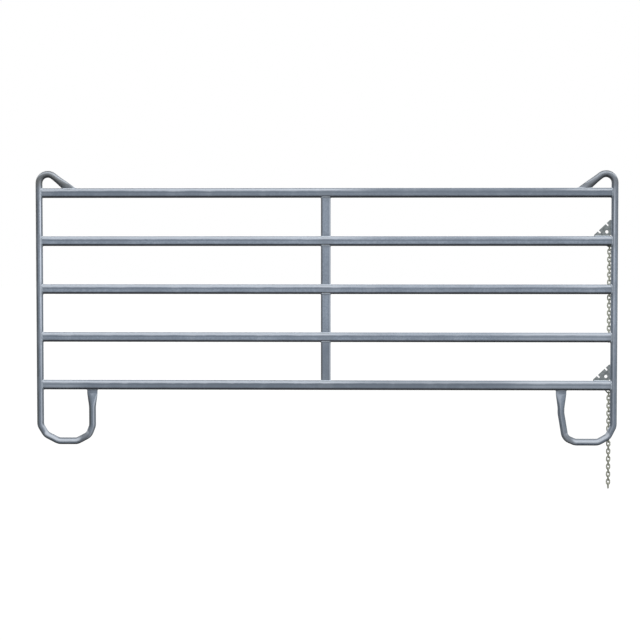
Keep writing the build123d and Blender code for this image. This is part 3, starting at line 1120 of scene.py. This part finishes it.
def make_chain_zinc():
    """Galvanised wire: pale olive grey, bright where links rub, darker at their welds, muddy low down with
    painted shade on the links' outer sides, painted light higher up, a painted highlight on top and painted
    shade underneath.
    """
    material, tree, shader = new_material("chain_zinc")
    grain = place_group(tree, GRAIN, {"Grains per Metre": WIRE_GRAINS})
    weather = place_group(tree, WEATHER_AND_LIGHT)
    rub, heat, outer = [wire_layer(tree, name) for name in WIRE_LAYERS]
    rubbed = calc(tree, "ADD", rub, product(tree, grain["Tone"], RUB_GRAIN))
    worn = ranged(tree, rubbed, *RUB_LEVELS)
    height = parted(tree, object_place(tree))["Z"]
    zinc = blend(tree, grain["Tone"], WIRE_DARK, WIRE_PALE)
    # Painted light higher up the chain
    lightened = coated(tree, zinc, LIT_WIRE, ranged(tree, height, *LIT_WIRE_HEIGHTS))
    near_ground = ranged(tree, height, *MUD_HEIGHTS)
    in_grain = ranged(tree, grain["Tone"], *MUD_TONES, *MUD_TONE_SHARES)
    # Mud near the ground, with painted shade on the links' outer sides
    on_outside = ranged(tree, outer, *MUD_AND_SHADE_SIDES, *MUD_AND_SHADE_SIDE_SHARES)
    mud_and_shade = blend(tree, product(tree, near_ground, in_grain, on_outside), lightened, MUD_AND_SHADE)
    # Painted highlight on top, painted shade underneath
    paled = coated(tree, mud_and_shade, WIRE_TOP_HIGHLIGHT, weather["Crest"])
    under_shaded = coated(tree, paled, WIRE_UNDER_SHADE, weather["Shade Below"])
    burnt = coated(tree, under_shaded, WIRE_HEAT, heat)
    set_inputs(tree, shader, {
        "Base Color": blend(tree, worn, burnt, RUBBED_WIRE),
        "Roughness": by_mask(tree, worn, *WIRE_ROUGHNESS),
        "Metallic": by_mask(tree, worn, *WIRE_METALLIC),
        "Specular IOR Level": WIRE_SPECULAR,
        "Normal": relief(tree, grain["Height"], *WIRE_RELIEF),
    })
    return material


# Finish of the weld beads

WELD_GRAINS = 700.0
SPRAY_DARK = (0.26, 0.30, 0.35, 1)
SPRAY_PALE = (0.46, 0.52, 0.59, 1)
# Painted highlight on top of the beads, and painted shade underneath
WELD_TOP_HIGHLIGHT = Coat((0.74, 0.80, 0.87, 1), 0.95)
WELD_HIGHLIGHT_ON_TOP = 0.9
WELD_UNDER_SHADE = Coat((0.09, 0.1, 0.11, 1), 0.6)
WELD_ROUGHNESS = (0.70, 0.52)
WELD_METALLIC = 0.08
WELD_RELIEF = (0.4, 0.0004)


def make_weld_zinc():
    """Weld beads under zinc spray: matt grey, with a painted highlight on top and painted shade underneath.
    """
    material, tree, shader = new_material("weld_zinc")
    grain = place_group(tree, GRAIN, {"Grains per Metre": WELD_GRAINS})
    weather = place_group(tree, WEATHER_AND_LIGHT, {"Crest on Top": WELD_HIGHLIGHT_ON_TOP})
    spray = blend(tree, grain["Tone"], SPRAY_DARK, SPRAY_PALE)
    crested = coated(tree, spray, WELD_TOP_HIGHLIGHT, weather["Crest"])
    set_inputs(tree, shader, {
        "Base Color": coated(tree, crested, WELD_UNDER_SHADE, weather["Shade Below"]),
        "Roughness": by_mask(tree, grain["Tone"], *WELD_ROUGHNESS),
        "Metallic": WELD_METALLIC,
        "Specular IOR Level": ZINC_SPECULAR,
        "Normal": relief(tree, grain["Height"], *WELD_RELIEF),
    })
    return material


# Stage

def seen_directly(tree):
    """1 where the camera looks straight at it, or by a reflection or through glass."""
    rays = add_node(tree, "ShaderNodeLightPath").outputs
    return highest(tree, rays["Is Camera Ray"], rays["Is Glossy Ray"], rays["Is Transmission Ray"])


def mixed_shader(tree, factor, one, two):
    """A shader between two shaders."""
    return add_node(tree, "ShaderNodeMixShader", {0: factor, 1: one, 2: two}).outputs[0]


def make_world():
    """White surroundings, which light the object only softly."""
    world = bpy.data.worlds.new("studio")
    bpy.context.scene.world = world
    world.use_nodes = True
    tree = world.node_tree
    tree.nodes.clear()
    dim = add_node(tree, "ShaderNodeBackground", {"Color": WHITE, "Strength": STUDIO_GLOW}).outputs[0]
    white = add_node(tree, "ShaderNodeBackground", {"Color": WHITE, "Strength": 1.0}).outputs[0]
    mixed = mixed_shader(tree, seen_directly(tree), dim, white)
    add_node(tree, "ShaderNodeOutputWorld", {"Surface": mixed})


def make_floor():
    """A wide pale floor just under the lower chain, which keeps the panel's shadow."""
    z = cad_box[0][2] - FLOOR_GAP
    corners = [(-1, -1), (1, -1), (1, 1), (-1, 1)]
    mesh = bpy.data.meshes.new("floor")
    mesh.from_pydata([(x * FLOOR_HALF, y * FLOOR_HALF, z) for x, y in corners], [], [(0, 1, 2, 3)])
    material = bpy.data.materials.new("pale_floor")
    material.use_nodes = True
    tree = material.node_tree
    tree.nodes.clear()
    grey = add_node(tree, "ShaderNodeBsdfDiffuse", {"Color": FLOOR_GREY}).outputs[0]
    pale = add_node(tree, "ShaderNodeBsdfDiffuse", {"Color": FLOOR_PALE}).outputs[0]
    white = add_node(tree, "ShaderNodeEmission", {"Color": WHITE, "Strength": FLOOR_GLOW}).outputs[0]
    shown = mixed_shader(tree, FLOOR_GLOW_SHARE, pale, white)
    mixed = mixed_shader(tree, seen_directly(tree), grey, shown)
    add_node(tree, "ShaderNodeOutputMaterial", {"Surface": mixed})
    mesh.materials.append(material)
    floor = in_scene("floor", mesh)


def lamp_turn(towards):
    """Turn of a lamp that stands towards a direction and shines back from there."""
    return Vector(towards).to_track_quat("Z", "Y").to_euler()


def make_sky_lamp(name, strength, softness, elevation, azimuth):
    """A soft lamp from far away. Azimuth 0 shines from the front, and 90 degrees from the right."""
    lamp = bpy.data.lights.new(name, "SUN")
    lamp.energy = strength
    lamp.angle = softness
    level = cos(elevation)
    towards = (sin(azimuth) * level, -cos(azimuth) * level, sin(elevation))
    in_scene(name, lamp).rotation_euler = lamp_turn(towards)


def make_soft_box():
    """A soft box near the panel, which gives the posts their light stripes together with the painted
    highlight stripe on each post.
    """
    lamp = bpy.data.lights.new("front_soft_box", "AREA")
    lamp.energy = SOFT_BOX_POWER
    lamp.shape = "RECTANGLE"
    lamp.size, lamp.size_y = SOFT_BOX_SIZE
    holder = in_scene("front_soft_box", lamp)
    holder.location = SOFT_BOX_PLACE
    holder.rotation_euler = lamp_turn(Vector(SOFT_BOX_PLACE) - Vector(SOFT_BOX_AIM))
    holder.visible_camera = False


def make_camera():
    """The camera at the photograph's place."""
    camera = bpy.data.cameras.new("camera")
    camera.lens = CAMERA_LENS
    camera.sensor_width = CAMERA_SENSOR
    camera.clip_end = CAMERA_REACH
    holder = in_scene("camera", camera)
    holder.location = CAMERA_PLACE
    holder.rotation_euler = (pi / 2 + CAMERA_PITCH, 0, -CAMERA_YAW)
    bpy.context.scene.camera = holder


# Putting it together

rail_zinc = make_rail_zinc()
upright_zinc = make_upright_zinc()
plate_zinc = make_plate_zinc()
chain_zinc = make_chain_zinc()
weld_zinc = make_weld_zinc()

finishes = {name: rail_zinc for name in RAILS}
finishes.update({name: upright_zinc for name in (*STRUTS, *HOOPS)})
finishes.update({f"{chain}_chain_plate": plate_zinc for chain in CHAINS})
for name, finish in finishes.items():
    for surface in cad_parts[name].material_slots:
        surface.link = "OBJECT"
        surface.material = finish

rail_ends = [rail_end_seam(rail, side) for rail in RAILS for side in (-1, 1)]
make_welds("rail_end_welds", rail_ends, True, weld_zinc)

strut_ends = []
for strut, below, above in zip(STRUTS, RAILS, RAILS[1:]):
    strut_ends += [strut_seam(strut, below, 1), strut_seam(strut, above, -1)]
make_welds("strut_welds", strut_ends, True, weld_zinc)

hoop_ends = []
for hoop in HOOPS:
    hoop_ends += [pressed_end_seam(hoop, "top_rail", 1), pressed_end_seam(hoop, "bottom_rail", -1)]
make_welds("hoop_end_welds", hoop_ends, True, weld_zinc)

plate_edges = []
for chain, rail in CHAINS.items():
    plate_edges += plate_seams(f"{chain}_chain_plate", rail)
make_welds("plate_welds", plate_edges, False, weld_zinc)

staple_roots = []
for chain, rail in CHAINS.items():
    staple_roots += staple_seams(chain, rail)
make_welds("staple_welds", staple_roots, True, weld_zinc, STAPLE_BEAD_SHARE)

for chain, rail in CHAINS.items():
    make_staple(chain, rail, chain_zinc)
    for first, last in LINK_RUNS:
        make_chain_run(chain, first, last, chain_zinc)

make_world()
make_floor()
for name, settings in SKY_LAMPS.items():
    make_sky_lamp(name, *settings)
make_soft_box()
make_camera()
bpy.context.scene.view_settings.view_transform = "Standard"
